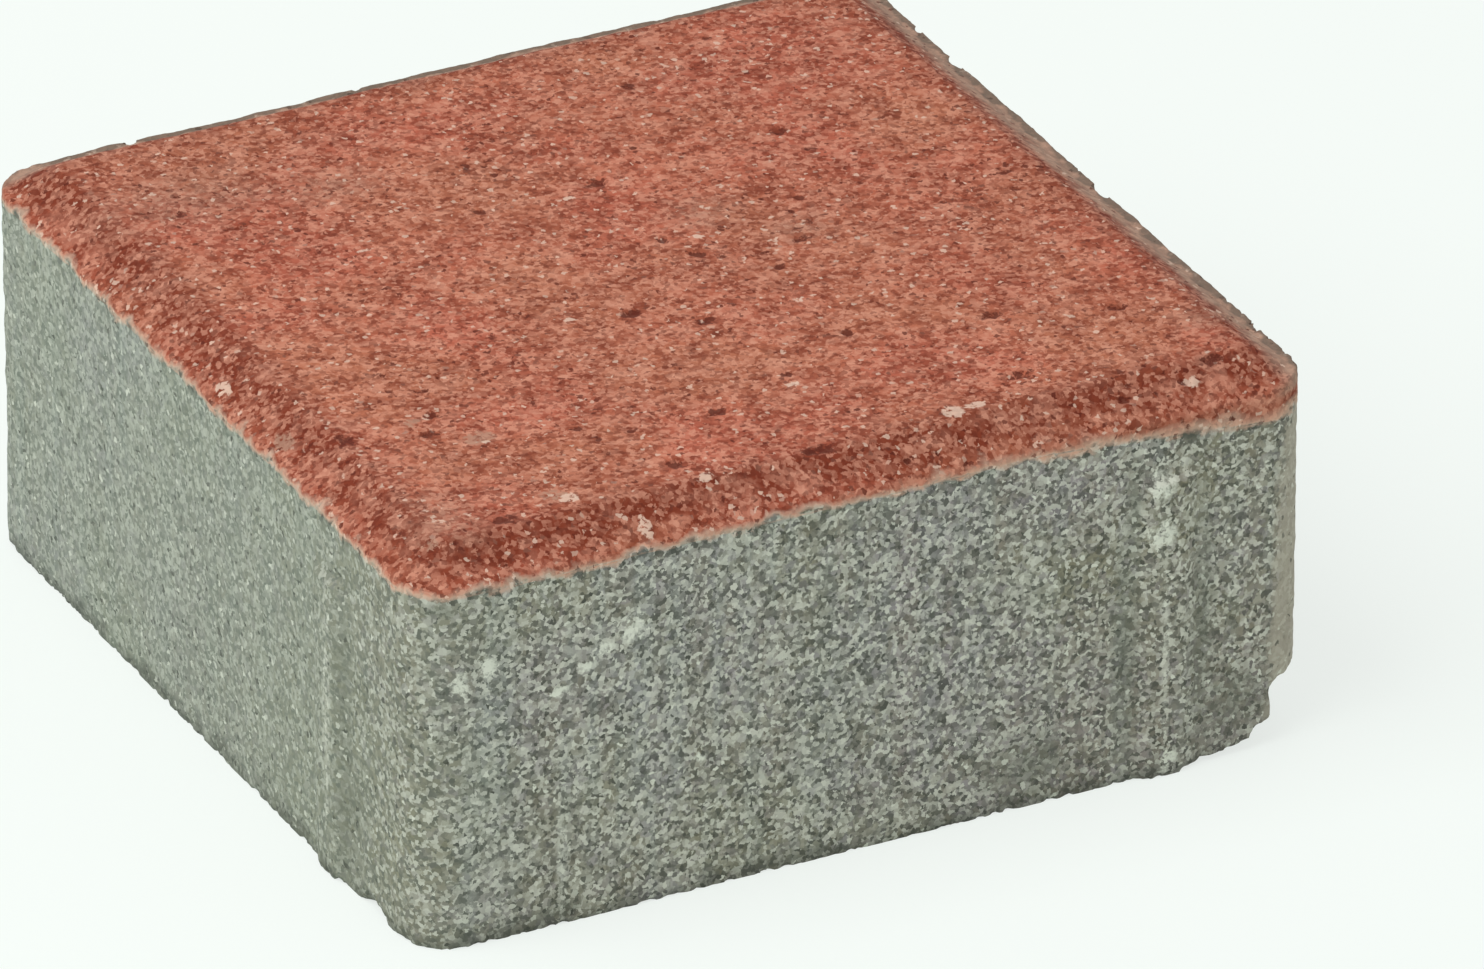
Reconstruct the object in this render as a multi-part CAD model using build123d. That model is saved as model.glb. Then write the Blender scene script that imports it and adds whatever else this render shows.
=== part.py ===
"""Square two-layer concrete paving stone with spacer ribs, a chamfered wearing face and one broken corner.

Millimetres, +Z up. The origin is the centre of the underside, and -Y is the near face.
The stone is pressed in one mould in two fills: a grey core that carries the load and the ribs, and a
thinner red facing on top of it. The mould gives upright walls with rounded upright corners, and the stamp
gives the flat chamfer all round the top.
"""

from build123d import *

import math
import os

# Stone
length = 138.0
width = 138.0
height = 60.0
corner_radius = 7.0

# Chamfer round the top: how far in it reaches, how far down, and the corners of the flat that it leaves
chamfer_run = 7.4
chamfer_drop = 4.3
flat_corner_radius = 2.0

# Facing: its thickness, and how far its underside sags towards the +X wall
facing_thickness = 5.2
facing_sag = 3.8
facing_sag_run = 41.0

# Spacer rib: one on each wall, near the end that is on the right when that wall is seen from outside.
# It stands closer to its corner on the near and far walls than on the two side walls.
rib_from_corner_near_wall = 23.0
rib_from_corner_side_wall = 27.3
rib_projection = 1.3
rib_base_width = 10.0
rib_crest_width = 4.0
rib_crest_radius = 1.6
rib_height = 51.0
rib_taper_height = 5.0

# Fin that the stamp left on the shoulder along the far wall and the +X wall and round their end corners
fin_width = 1.4
fin_height = 0.8

# Broken corner at the bottom, between the near wall and the +X wall: its outline on the near wall as
# distances from the +X wall and heights, how far back it keeps that size, how far back it reaches, and
# what is left of it there
broken_outline = (
    (22.0, -0.2),
    (18.0, 0.5),
    (11.5, 1.2),
    (9.4, 1.9),
    (8.8, 3.4),
    (6.0, 4.4),
    (6.2, 9.0),
    (5.5, 9.8),
    (3.4, 10.4),
    (-8.0, 11.0),
    (-8.0, -6.0),
    (22.0, -6.0),
)
break_full_depth = 7.0
break_depth = 14.0
break_left_at_back = 0.55

# Chip out of the bottom edge of the -X wall: how far from the near wall, half its length, its height on
# the wall and its depth on the underside
edge_chip_from_near_wall = 14.6
edge_chip_half_length = 4.4
edge_chip_height = 2.5
edge_chip_depth = 2.2

# Worn hollows in the wearing face, where grains came out: x, y, radius and depth of each
hollows = (
    (3.6, 22.5, 1.9, 0.6),
    (33.5, 24.5, 1.3, 0.5),
    (6.0, -0.3, 1.9, 0.5),
    (21.5, -5.5, 1.4, 0.5),
    (-9.6, -14.6, 1.7, 0.6),
    (-1.0, -21.5, 2.0, 0.6),
    (34.7, -37.9, 1.8, 0.6),
    (52.1, -43.5, 1.6, 0.6),
    (-47.5, -28.8, 1.4, 0.5),
    (-12.0, -46.0, 1.6, 0.5),
    (30.0, -55.0, 2.0, 0.6),
    (-24.0, -56.5, 1.9, 0.6),
)


def mould_block():
    """The whole stone as the mould leaves it, before the ribs: upright walls and a chamfered top."""
    shoulder_height = height - chamfer_drop
    walls = extrude(RectangleRounded(length, width, corner_radius), shoulder_height)
    shoulder = Plane.XY.offset(shoulder_height) * RectangleRounded(length, width, corner_radius)
    flat = Plane.XY.offset(height) * RectangleRounded(
        length - 2 * chamfer_run, width - 2 * chamfer_run, flat_corner_radius
    )
    return walls + loft([shoulder, flat], ruled=True)


def rib(from_middle, wall_distance, turn):
    """One spacer rib on the wall that faces -Y after the stone is turned back by the given angle.

    Its section is a low trapezium with rounded crest edges. Its foot is at the underside, and its top
    tapers back into the wall so that the stone leaves the mould.
    """
    buried = rib_projection
    outline = make_face(
        Polyline(
            (-rib_base_width / 2, buried),
            (-rib_base_width / 2, 0),
            (-rib_crest_width / 2, -rib_projection),
            (rib_crest_width / 2, -rib_projection),
            (rib_base_width / 2, 0),
            (rib_base_width / 2, buried),
            close=True,
        )
    )
    crest_corners = outline.vertices().group_by(Axis.Y)[0]
    upright = extrude(fillet(crest_corners, rib_crest_radius), rib_height)
    side_view = make_face(
        Polyline(
            (buried, 0),
            (-rib_projection, 0),
            (-rib_projection, rib_height - rib_taper_height),
            (0, rib_height),
            (buried, rib_height),
            close=True,
        )
    )
    envelope = extrude(Plane.YZ * side_view, rib_base_width / 2, both=True)
    place = Pos(from_middle, -wall_distance, 0)
    return Rot(0, 0, turn) * place * (upright & envelope)


def facing_space():
    """The space above the line where the two fills meet: level, then sagging towards the +X wall."""
    seam = height - facing_thickness
    beyond = length
    profile = make_face(
        Polyline(
            (-beyond, seam),
            (length / 2 - facing_sag_run, seam),
            (length / 2, seam - facing_sag),
            (beyond, seam - facing_sag),
            (beyond, 2 * height),
            (-beyond, 2 * height),
            close=True,
        )
    )
    return extrude(Plane.XZ * profile, width, both=True)


def fin():
    """Thin ridge on the shoulder along the far wall and the +X wall, upright outside and sloped inside."""
    shoulder_height = height - chamfer_drop
    ring = Plane.XY.offset(shoulder_height) * RectangleRounded(length, width, corner_radius)
    inner = Plane.XY.offset(shoulder_height) * RectangleRounded(
        length - 2 * fin_width, width - 2 * fin_width, corner_radius - fin_width
    )
    ridge = extrude(ring, fin_height) - extrude(inner, fin_height, taper=-math.degrees(math.atan(0.9)))
    far_side = Pos(0, width / 2, height / 2) * Box(2 * length, 2 * chamfer_run, height)
    right_side = Pos(length / 2, 0, height / 2) * Box(2 * chamfer_run, 2 * width, height)
    return ridge & (far_side + right_side)


def broken_outline_at(back, left):
    """The broken-off outline on a plane that far behind the near wall, shrunk to the given share."""
    anchor_x, anchor_z = -8.0, -6.0
    points = [
        (length / 2 - (anchor_x + (x - anchor_x) * left), anchor_z + (z - anchor_z) * left)
        for x, z in broken_outline
    ]
    plane = Plane(origin=(0, -width / 2 + back, 0), x_dir=(1, 0, 0), z_dir=(0, -1, 0))
    return plane * make_face(Polyline(*points, close=True))


def broken_corner():
    """What is broken off the bottom corner: its outline on the near wall, narrowed at the back."""
    front = broken_outline_at(-corner_radius, 1.0)
    middle = broken_outline_at(break_full_depth, 1.0)
    back = broken_outline_at(break_depth, break_left_at_back)
    return loft([front, middle], ruled=True) + loft([middle, back], ruled=True)


def edge_chip():
    """Ball that takes the chip out of the bottom edge of the -X wall."""
    circle = (edge_chip_half_length**2 + edge_chip_depth**2) / (2 * edge_chip_depth)
    below = (edge_chip_half_length**2 - edge_chip_height**2) / (2 * edge_chip_height)
    middle = Pos(-length / 2 + edge_chip_depth - circle, -width / 2 + edge_chip_from_near_wall, -below)
    return middle * Sphere(math.hypot(circle, below))


def hollow(x, y, radius, depth):
    """Ball that takes one shallow hollow out of the flat of the wearing face."""
    ball = (radius**2 + depth**2) / (2 * depth)
    return Pos(x, y, height - depth + ball) * Sphere(ball)


stone = mould_block()
for turn in (0, 180):
    stone += rib(length / 2 - rib_from_corner_near_wall, width / 2, turn)
for turn in (90, 270):
    stone += rib(width / 2 - rib_from_corner_side_wall, length / 2, turn)

stone += fin()
stone -= broken_corner()
stone -= edge_chip()
for place in hollows:
    stone -= hollow(*place)

facing = stone & facing_space()
core = stone - facing_space()

os.makedirs("parts", exist_ok=True)
for name, piece in (("core", core), ("facing", facing)):
    export_step(piece, f"parts/{name}.step")
    box = piece.bounding_box()
    print(name, "solids", len(piece.solids()), "volume", round(piece.volume / 1000, 1), "cm3", "box", box)
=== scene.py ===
"""Looks of the concrete paving stone: a grey core and a red facing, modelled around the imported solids.

Laid out as an add-on and run as a script. Metres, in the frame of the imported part. The patterns in the
relief and in the materials are worked out in millimetres.
"""

import math
import random
from functools import partial

import bpy
from bpy.props import FloatProperty, FloatVectorProperty, IntProperty, PointerProperty
from mathutils import Matrix, Vector


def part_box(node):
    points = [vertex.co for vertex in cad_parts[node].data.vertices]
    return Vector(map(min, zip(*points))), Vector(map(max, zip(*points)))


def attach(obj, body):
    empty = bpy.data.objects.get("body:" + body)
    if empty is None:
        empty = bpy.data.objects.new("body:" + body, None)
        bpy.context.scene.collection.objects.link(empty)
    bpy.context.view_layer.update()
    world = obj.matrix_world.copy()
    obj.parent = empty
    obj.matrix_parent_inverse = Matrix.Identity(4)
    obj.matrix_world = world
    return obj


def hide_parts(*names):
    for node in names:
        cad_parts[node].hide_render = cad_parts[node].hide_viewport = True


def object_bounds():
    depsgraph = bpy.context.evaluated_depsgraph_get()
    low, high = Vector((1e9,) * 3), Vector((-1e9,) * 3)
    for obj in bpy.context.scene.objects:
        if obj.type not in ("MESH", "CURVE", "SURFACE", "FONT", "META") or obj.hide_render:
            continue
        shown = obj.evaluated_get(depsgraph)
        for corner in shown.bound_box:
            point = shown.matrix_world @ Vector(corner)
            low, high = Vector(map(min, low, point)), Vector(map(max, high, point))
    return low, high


bl_info = {
    "name": "Concrete paving stone",
    "version": (1, 0, 0),
    "blender": (4, 5, 0),
    "location": "View3D > Sidebar > Paving",
    "description": "Models a weathered two-layer paving stone and the stage that it is shown on",
    "category": "Object",
}

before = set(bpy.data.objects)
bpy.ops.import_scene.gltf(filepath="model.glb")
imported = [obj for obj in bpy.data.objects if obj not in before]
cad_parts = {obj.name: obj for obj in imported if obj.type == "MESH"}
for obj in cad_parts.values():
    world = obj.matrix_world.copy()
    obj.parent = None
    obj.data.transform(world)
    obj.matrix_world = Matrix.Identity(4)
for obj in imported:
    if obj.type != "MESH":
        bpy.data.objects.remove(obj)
CAD_BOX = [list(corner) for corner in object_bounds()]
CORE_LOW, CORE_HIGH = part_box("core")
FACING_LOW, FACING_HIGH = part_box("facing")

MM = 0.001

# Picking faces and edges by their place: how much of a face's normal lies along the axis that it looks
# along, and how far beside a line a point may lie
LOOKS_ALONG = 0.9
SLACK = 0.1 * MM

# Segments of an upright corner, the rounding of a rib's crest, and how deep a rib is rooted in its wall, as a
# multiple of how far it stands out
CORNER_SEGMENTS = 8
RIB_ROUNDING = 1.3 * MM
RIB_ROOT = 4

# Fin: how far its slab reaches below the shoulder, and the share of the fin's width that its crest takes
FIN_ROOT = 2 * MM
FIN_CREST_SHARE = 0.35

# Chips along one wall, at its foot and at its shoulder: how many, and the greatest depth in millimetres
FOOT_CHIPS = (7, 0.6)
SHOULDER_CHIPS = (12, 0.7)
# The least and greatest share of that depth, and the power that makes most of them small
CHIP_SHARES = (0.25, 1.0)
CHIP_POWER = 1.5
# Their length, height and distance of the middle outside the wall, as multiples of the depth, and their tilt
# either way in radians
CHIP_LENGTHS = (1.5, 4.0)
CHIP_HEIGHTS = (0.9, 2.2)
CHIP_OUTSIDE = 0.2
CHIP_TILT = 0.5
# Chips down one upright corner: how many, their depths and levels in millimetres, how widely they spread
# round the corner, and their width, height and distance outside as multiples of the depth
CORNER_CHIPS = 5
CORNER_CHIP_DEPTHS = (0.2, 0.6)
CORNER_CHIP_LEVELS = (2, 50)
CORNER_CHIP_SPREAD = 0.7
CORNER_CHIP_WIDTH = 2
CORNER_CHIP_HEIGHTS = (2, 4)
CORNER_CHIP_OUTSIDE = 0.4
# Chip out of the bottom edge of the -X wall: middle and radius in millimetres
EDGE_CHIP_MIDDLE = (-72.3, -54.4, -2.62)
EDGE_CHIP_RADIUS = 6.1

# What is broken off the near wall's bottom corner, in millimetres: its outline on that wall, as distances
# from the +X wall and heights, how far behind the wall it keeps that size, how much further it reaches, the
# share of its size that is left there, and the point of the outline that it narrows towards
BROKEN_OUTLINE = (
    (22.0, -0.2),
    (18.0, 0.5),
    (11.5, 1.2),
    (9.4, 1.9),
    (8.8, 3.4),
    (6.0, 4.4),
    (6.2, 9.0),
    (5.5, 9.8),
    (3.4, 10.4),
    (-8.0, 11.0),
    (-8.0, -6.0),
    (22.0, -6.0),
)
BREAK_FULL_DEPTH = 7.0
BREAK_TAPER_DEPTH = 7.0
BREAK_LEFT_AT_BACK = 0.55
BREAK_ANCHOR = (-8.0, -6.0)

# Relief, in millimetres: how far its level stands out, then the size, height and detail of each layer of
# unevenness
RELIEF_LEVEL = 0.18
UNEVENNESS = (
    (34, 0.8, 1.0),
    (8, 0.6, 2.0),
    (2.6, 0.55, 3.0),
)
UNEVENNESS_ROUGHNESS = 0.6
# Spacing and radius of the pits, and the share of the radius over which a pit falls to its depth
PITS = (
    (4.4, 1.1),
    (2.5, 0.75),
)
PIT_SLOPE = 0.6
# How far pits, hollows and crumbs go in and bared stones stand out
PIT_DEPTH = 0.4
HOLLOW_DEPTH = 0.6
CRUMB_DEPTH = 0.45
BARED_STONE_HEIGHT = 0.22
# Levels above the underside from which to which the relief grows to its full height, with the share that is
# left at the underside, and from which down to which the foot crumbles
FLAT_UNDERSIDE = (0.25, 0.8, 0.35, 1.0)
CRUMBLING_FOOT = (2.5, 0.5)

# Angle in degrees up to which edges are shaded smooth
SMOOTH_ANGLE = 55

# Sizes of the patterns in millimetres, from broad sweeps of tone down to single grains. Much of the real
# sand is finer than the render can show, so the finest grains are drawn as wide as they need to show.
SWEEP_SIZE = 28
CLUSTER_SIZE = 22
CLOUD_SIZE = 11
SWING_SIZE = 4.0
CRUMB_SIZE = 1.9
TONE_SIZE = 1.4
GRIT_SIZE = 1.2
SAND_SIZE = 0.6

# Size of the noise that makes pits and placed marks ragged, and how far noise pulls at their edges, at the
# edges of grains and at those of scuffs, in millimetres
RAGGED_SIZE = 1.5
RAGGED_REACH = 2.6
GRAIN_REACH = 1.2
SCUFF_REACH = 2.0

# Levels of each noise between which its pattern goes from nothing to all
PATCHES = (0.38, 0.64)
SWEEPS = (0.38, 0.62)
CRUMBS = (0.48, 0.72)
STREAKS = (0.45, 0.65)
CLUMPS = (0.02, 0.14)
GAPS = (-0.02, -0.14)

# Distances from a mark's middle, as shares of its radii, at which it begins and is full
HOLLOW_EDGE = (1.1, 0.45)
BARED_STONE_EDGE = (1.0, 0.75)
SCUFF_EDGE = (1.25, 0.3)
LINE_EDGE = (1.3, 0.3)
WEAR_EDGE = (1.15, 0.7)
PATCH_EDGE = (1.2, 0.2)

# Levels between which each kind of mark goes from nothing to all, once grit and sand have broken it up
MARK_FADES = {
    "hollow": (0.3, 0.6),
    "pale": (0.3, 0.6),
    "dull": (0.3, 0.9),
    "faded": (0.0, 1.4),
    "scuff": (0.2, 1.0),
    "line": (0.2, 1.2),
    "stain": (0.0, 1.0),
}

# Zones of the facing, in millimetres: where each begins and is full, from the stone's middle outwards, above
# the underside or above the seam, and how far its edge wanders
CHAMFER_ZONE = (58.5, 63.0)
CHAMFER_WANDER = 9.0
WORN_EDGE_ZONE = (65.0, 68.0, 1.0, 0.5)
SEAM_LEVELS = (28.0, 69.0, 54.9, 51.1)
SEAM_FADE = (-0.5, 0.4)
SEAM_WANDER = 4.5
SEAM_GRIT = (("tone", 1.1), ("clot", 0.4))
SEAM_PITS_ZONE = (-1.8, -0.5)
RIM_WIDTHS = (0.0, 69.0, 1.1, 2.2)
RIM_FOOT = 0.2
FILM_ZONE = (63.5, 66.5)
FILM_WANDER = 6.0
FILM_TOP = (60.0, 59.4)
FILM_FOOT = (54.4, 55.4)
FIN_CREST_ZONE = (67.6, 68.3)
FIN_CREST_FOOT = (55.6, 56.3)

# Zones of the core in the same way, with how far a zone leans or narrows per millimetre of height
# Painted shade on the -X wall: a flatter, darker, greener tone for how that wall is lit, weaker towards its
# near end
SIDE_SHADE_ZONE = (-52.0, -69.0)
SIDE_SHADE_NEAR_END = (-69.0, -35.0, 0.5, 1.0)
SHADE_ZONE = (-60.0, 70.0)
SHADE_LEAN = -0.8
NEAR_SHADE_ZONE = (60.0, -50.0)
NEAR_SHADE_LEAN = 0.7
NEAR_SHADE_WALL = (-61.0, -69.0)
# Painted highlight: a light strip down the rounded corner between the near wall and the +X wall, for the
# light that the rounding catches
CORNER_HIGHLIGHT_ZONE = (131.7, 133.0)
CORNER_HIGHLIGHT_WANDER = 3.0
CORNER_HIGHLIGHT_NARROWS = -0.05
# The foot, darkened for dirt and for painted contact shade where the stone meets the floor
FOOT_ZONE = (3.0, 0.5)
FOOT_WANDER = 9.0
# Streaks that the mould drew up the walls: how finely they repeat along each axis, per millimetre
STREAK_SCALES = (0.3, 0.3, 0.018)

# Stage, in metres and degrees: the camera's direction, distance and target, how far the picture's middle lies
# right of and below that, the lens and sensor in millimetres, the lamp, and the floor with the share of plain
# white that the camera sees in it
CAMERA_AZIMUTH = -27.0
CAMERA_ELEVATION = 28.54
CAMERA_DISTANCE = 2.781
CAMERA_TARGET = (0, 0, 0.0414)
CAMERA_RIGHT = 0.01368
CAMERA_DOWN = 0.01577
CAMERA_LENS = 481.9
CAMERA_SENSOR = 36.0
LAMP_TOWARDS = (-0.55, -0.08, 0.8)
LAMP_DISTANCE = 1.4
LAMP_SIZE = 1.1
FLOOR_SIZE = 8.0
FLOOR_GLOW = 0.72

# Marks of wear and dirt on the stone, as middle and radii in millimetres; the hollows are also painted with
# shade, and two of the stains are the painted shade of a rib's flank
TOP_HOLLOWS = (
    ((3.6, 22.5, 60), (2.2, 1.5, 1.4)),
    ((-14.8, 21.8, 60), (1.1, 1.0, 1.2)),
    ((4.2, 2.6, 60), (1.3, 1.0, 1.3)),
    ((7.0, -3.0, 60), (1.7, 1.3, 1.3)),
    ((-9.6, -14.9, 60), (1.8, 1.3, 1.4)),
    ((-1.0, -21.6, 60), (2.2, 1.2, 1.4)),
    ((15.3, -11.7, 60), (1.2, 0.9, 1.2)),
    ((21.5, -5.5, 60), (1.6, 1.1, 1.2)),
    ((34.7, -37.9, 60), (2.4, 1.2, 1.4)),
    ((52.1, -43.5, 60), (2.0, 1.2, 1.4)),
    ((33.5, 24.5, 60), (1.5, 1.0, 1.2)),
    ((35.0, 17.8, 60), (1.0, 0.8, 1.2)),
    ((12.9, 29.4, 60), (1.0, 0.8, 1.2)),
    ((14.8, -33.4, 60), (1.2, 0.9, 1.2)),
    ((1.8, -40.5, 60), (1.3, 0.9, 1.2)),
    ((-47.5, -28.8, 60), (1.4, 1.2, 1.3)),
    ((-50.0, -33.5, 60), (1.4, 1.0, 1.2)),
    ((-12.0, -46.0, 60), (2.0, 1.2, 1.3)),
    ((30.0, -55.0, 60), (2.6, 1.4, 1.4)),
    ((-24.0, -56.5, 60), (2.4, 1.4, 1.4)),
    ((56.0, -62.0, 58.5), (3.0, 1.5, 1.6)),
    ((-52.0, -60.5, 59.5), (2.4, 1.4, 1.5)),
    ((-4.0, -61.5, 59.6), (3.0, 1.2, 1.4)),
    ((-61.0, -30.0, 59.6), (1.4, 2.4, 1.4)),
)
PALE_STONES = (
    ((17.0, -60.6, 60), (2.0, 1.5, 1.6)),
    ((20.6, -60.2, 60), (1.5, 1.1, 1.6)),
    ((-40.9, -58.7, 60), (1.6, 1.3, 1.4)),
    ((-21.7, -61.6, 59.2), (1.4, 1.1, 1.4)),
    ((-33.5, -66.7, 57), (0.9, 2.2, 1.6)),
    ((52.0, -65.0, 57.6), (1.4, 1.2, 1.6)),
    ((-59.7, -56.6, 59), (1.0, 0.9, 1.2)),
    ((-34.1, 18.8, 60), (1.3, 0.5, 1.0)),
    ((-44.0, -39.2, 60), (0.8, 0.6, 1.0)),
    ((-67.0, -4.0, 57.0), (1.1, 1.8, 1.4)),
    ((-1.9, 19.5, 60), (0.8, 0.6, 1.0)),
    ((-18.0, -12.6, 60), (0.7, 0.7, 1.0)),
    ((13.2, -21.4, 60), (0.8, 0.6, 1.0)),
    ((0.9, -43.5, 60), (0.9, 0.6, 1.0)),
    ((9.1, 1.4, 60), (0.7, 0.6, 1.0)),
)
DULL_STONES = (
    ((-44.2, -37.6, 60), (2.6, 2.0, 1.6)),
    ((-42.5, -57.0, 60), (1.6, 1.4, 1.4)),
    ((-50.6, -29.6, 60), (1.4, 1.0, 1.4)),
    ((-62.0, -60.5, 58), (2.2, 2.6, 1.6)),
    ((-66.5, -22.0, 57), (1.3, 2.4, 1.6)),
)
FADED_PATCHES = (
    ((12.5, 7.5, 60), (6.0, 5.5, 9.0)),
    ((23.0, -3.0, 60), (5.0, 4.5, 9.0)),
    ((-30.0, 38.0, 60), (9.0, 6.0, 9.0)),
    ((-50.0, 44.0, 60), (15.0, 9.0, 9.0)),
    ((-59.0, -56.0, 60), (6.0, 9.0, 9.0)),
    ((60.0, -52.0, 60), (4.0, 4.0, 9.0)),
)
WALL_SCUFFS = (
    ((45.0, -70, 46.2), (2.6, 2.0, 2.6)),
    ((45.1, -70, 38.4), (2.5, 2.0, 2.6)),
    ((-36.6, -69, 43.6), (2.8, 2.0, 2.6)),
    ((-40.6, -69, 41.6), (1.7, 2.0, 1.0)),
    ((-43.6, -69, 39.6), (1.5, 2.0, 0.9)),
    ((-47.5, -69, 36.7), (1.7, 2.0, 1.0)),
    ((-58.6, -69, 43.0), (1.9, 2.0, 1.8)),
    ((-62.8, -68.5, 41.6), (1.3, 2.0, 2.6)),
    ((-26.3, -69, 20.8), (1.2, 1.2, 0.7)),
    ((46.0, -70, 3.0), (1.8, 1.2, 2.4)),
)
WALL_STREAKS = (
    ((45.4, -70, 18.0), (0.7, 3.0, 18.0)),
    ((-47.6, -69, 10.0), (0.9, 3.0, 9.0)),
    ((-72.2, -42.1, 28.0), (3.0, 1.4, 28.0)),
    ((-46.3, 70, 22.0), (0.7, 3.0, 22.0)),
    ((70, 41.7, 26.0), (3.0, 0.8, 22.0)),
    ((48.6, -69, 44.0), (0.7, 1.2, 9.0)),
)
# Darker patches on the walls: dirt and damp, darker ground at the feet of the near wall's rib, and the
# painted shade of the near flank of the -X wall's rib
WALL_STAINS_AND_SHADE = (
    ((24.2, -69, 6.6), (7.5, 3.0, 6.0)),
    ((-48.0, -69, 2.5), (3.0, 2.0, 1.6)),
    ((57.0, -69, 9.0), (7.0, 3.0, 6.0)),
    ((-65.8, -68, 53.2), (2.5, 3.0, 1.3)),
    ((40.8, -69, 43.5), (1.5, 2.0, 6.0)),
    # These two are the painted shade on the near flank of the -X wall's rib
    ((-69.3, -46.4, 28.0), (2.6, 2.4, 28.0)),
    ((-69, -47.0, 12.0), (2.0, 5.5, 12.0)),
    ((39.8, -69, 20.0), (2.4, 2.0, 20.0)),
    ((51.5, -69, 24.0), (2.4, 2.0, 24.0)),
)

# Stones that stand out of the worn surface
BARED_STONES = PALE_STONES + DULL_STONES[:2]

# Marks that the relief keeps for the materials, with their edges
KEPT_MARKS = (
    ("pale", PALE_STONES, WEAR_EDGE),
    ("dull", DULL_STONES, WEAR_EDGE),
    ("faded", FADED_PATCHES, PATCH_EDGE),
    ("stain", WALL_STAINS_AND_SHADE, PATCH_EDGE),
)

# What lies over each concrete's own colour, from the bottom up: the mask, its strength and its colour
FACING_LAYERS = (
    ("sweep", 0.3, "facing_tan"),
    ("cloud", 0.28, "facing_shade"),
    ("chamfer", 0.95, "facing_shade"),
    ("gap", 0.55, "facing_shade"),
    ("clump", 0.28, "facing_grain"),
    ("pore", 0.6, "facing_shade"),
    ("sand", 0.35, "facing_grain"),
    ("dark_grain", 0.5, "facing_pore_and_shade"),
    ("light_grain", 0.5, "facing_grain"),
    ("faded", 0.35, "facing_dull"),
    ("film", 0.6, "facing_film"),
    ("rim", 0.7, "facing_rim"),
    ("speck", 0.7, "facing_pore_and_shade"),
    ("sparkle", 0.6, "facing_stone"),
    # Painted shade in the pits and hollows, over their relief
    ("hollow", 0.85, "facing_pore_and_shade"),
    ("dull", 0.6, "facing_dull"),
    ("pale", 0.7, "facing_stone"),
    ("fin_crest", 0.6, "core_dark"),
)
CORE_LAYERS = (
    ("sweep", 0.6, "core_mauve"),
    ("cloud", 0.3, "core_brown"),
    ("streak", 0.4, "core_blue"),
    ("shade", 0.37, "core_brown"),
    ("near_shade", 0.75, "core_brown"),
    ("warm", 0.3, "core_brown"),
    ("cool", 0.3, "core_mauve"),
    ("pore", 0.4, "core_dark"),
    ("sand", 0.3, "core_grain"),
    ("dark_grain", 0.8, "core_dark"),
    ("light_grain", 0.78, "core_grain"),
    # Painted highlight down the rounded near corner under +X
    ("corner_highlight", 0.75, "core_corner_highlight"),
    # Painted shade: the -X wall drawn flatter and darker, for how it is lit
    ("side_shade", 0.5, "core_side_shade"),
    # Dirt and damp, and the painted shade of a rib's flank
    ("stain", 0.5, "core_stain_and_shade"),
    ("seam_pits", 0.8, "core_dark"),
    ("speck", 0.7, "core_dark"),
    # Dirt and painted contact shade along the foot
    ("foot", 0.55, "core_dark"),
    # Painted shade in the pits of the walls
    ("hollow", 0.25, "core_dark"),
    ("line", 0.55, "core_grain"),
    ("scuff", 0.8, "core_scuff"),
    ("sparkle", 0.5, "core_scuff"),
)


def linear(hex_colour):
    """An sRGB hex colour as linear red, green, blue and alpha."""
    channels = [int(hex_colour[i : i + 2], 16) / 255 for i in (1, 3, 5)]
    return tuple(c / 12.92 if c <= 0.04045 else ((c + 0.055) / 1.055) ** 2.4 for c in channels) + (1.0,)


def length_property(name, description, millimetres):
    """A length that the panel shows in the scene's unit."""
    return FloatProperty(
        name=name, description=description, default=millimetres * MM, subtype="DISTANCE", unit="LENGTH"
    )


def colour_property(name, description, hex_colour):
    """A colour, given as sRGB hex and kept linear."""
    return FloatVectorProperty(
        name=name, description=description, default=linear(hex_colour), subtype="COLOR", size=4, min=0, max=1
    )


class StoneSizes(bpy.types.PropertyGroup):
    """Sizes of the stone that its solids don't give by their boxes."""

    corner_radius: length_property("Corner radius", "Radius of the upright corners", 7.0)
    chamfer_run: length_property("Chamfer run", "How far in from the wall the chamfer reaches", 7.4)
    chamfer_drop: length_property("Chamfer drop", "How far down the wall the chamfer reaches", 4.3)
    flat_corner_radius: length_property("Flat's corner radius", "Corners of the flat inside the chamfer", 2.0)
    facing_thickness: length_property("Facing thickness", "Depth of the red concrete", 5.2)
    facing_sag: length_property("Facing sag", "How much deeper the red concrete is at the +X wall", 3.8)
    facing_sag_run: length_property("Sag run", "How far from the +X wall the sag begins", 41.0)
    fin_width: length_property("Fin width", "Foot of the fin along the far shoulders", 1.4)
    fin_height: length_property("Fin height", "Height of the fin over the shoulder", 0.8)
    rib_near_wall: length_property("Rib, near wall", "Rib's middle to the corner, near and far walls", 23.0)
    rib_side_wall: length_property("Rib, side wall", "Rib's middle to the corner, side walls", 27.3)
    rib_base_width: length_property("Rib base", "Width of a rib where it leaves the wall", 10.0)
    rib_crest_width: length_property("Rib crest", "Width of a rib's crest", 4.0)
    rib_height: length_property("Rib height", "Top of a rib above the underside", 51.0)
    rib_taper: length_property("Rib taper", "Height over which a rib's top slopes back", 5.0)
    mesh_step: length_property("Mesh step", "Spacing of the finished surface's points", 0.5)
    coarse_share: FloatProperty(
        name="Coarse share",
        description="Share of triangles kept when the core is thinned",
        default=0.64,
        min=0,
        max=1,
    )
    seed: IntProperty(name="Seed", description="Seed of the chips along the edges", default=7)


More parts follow.
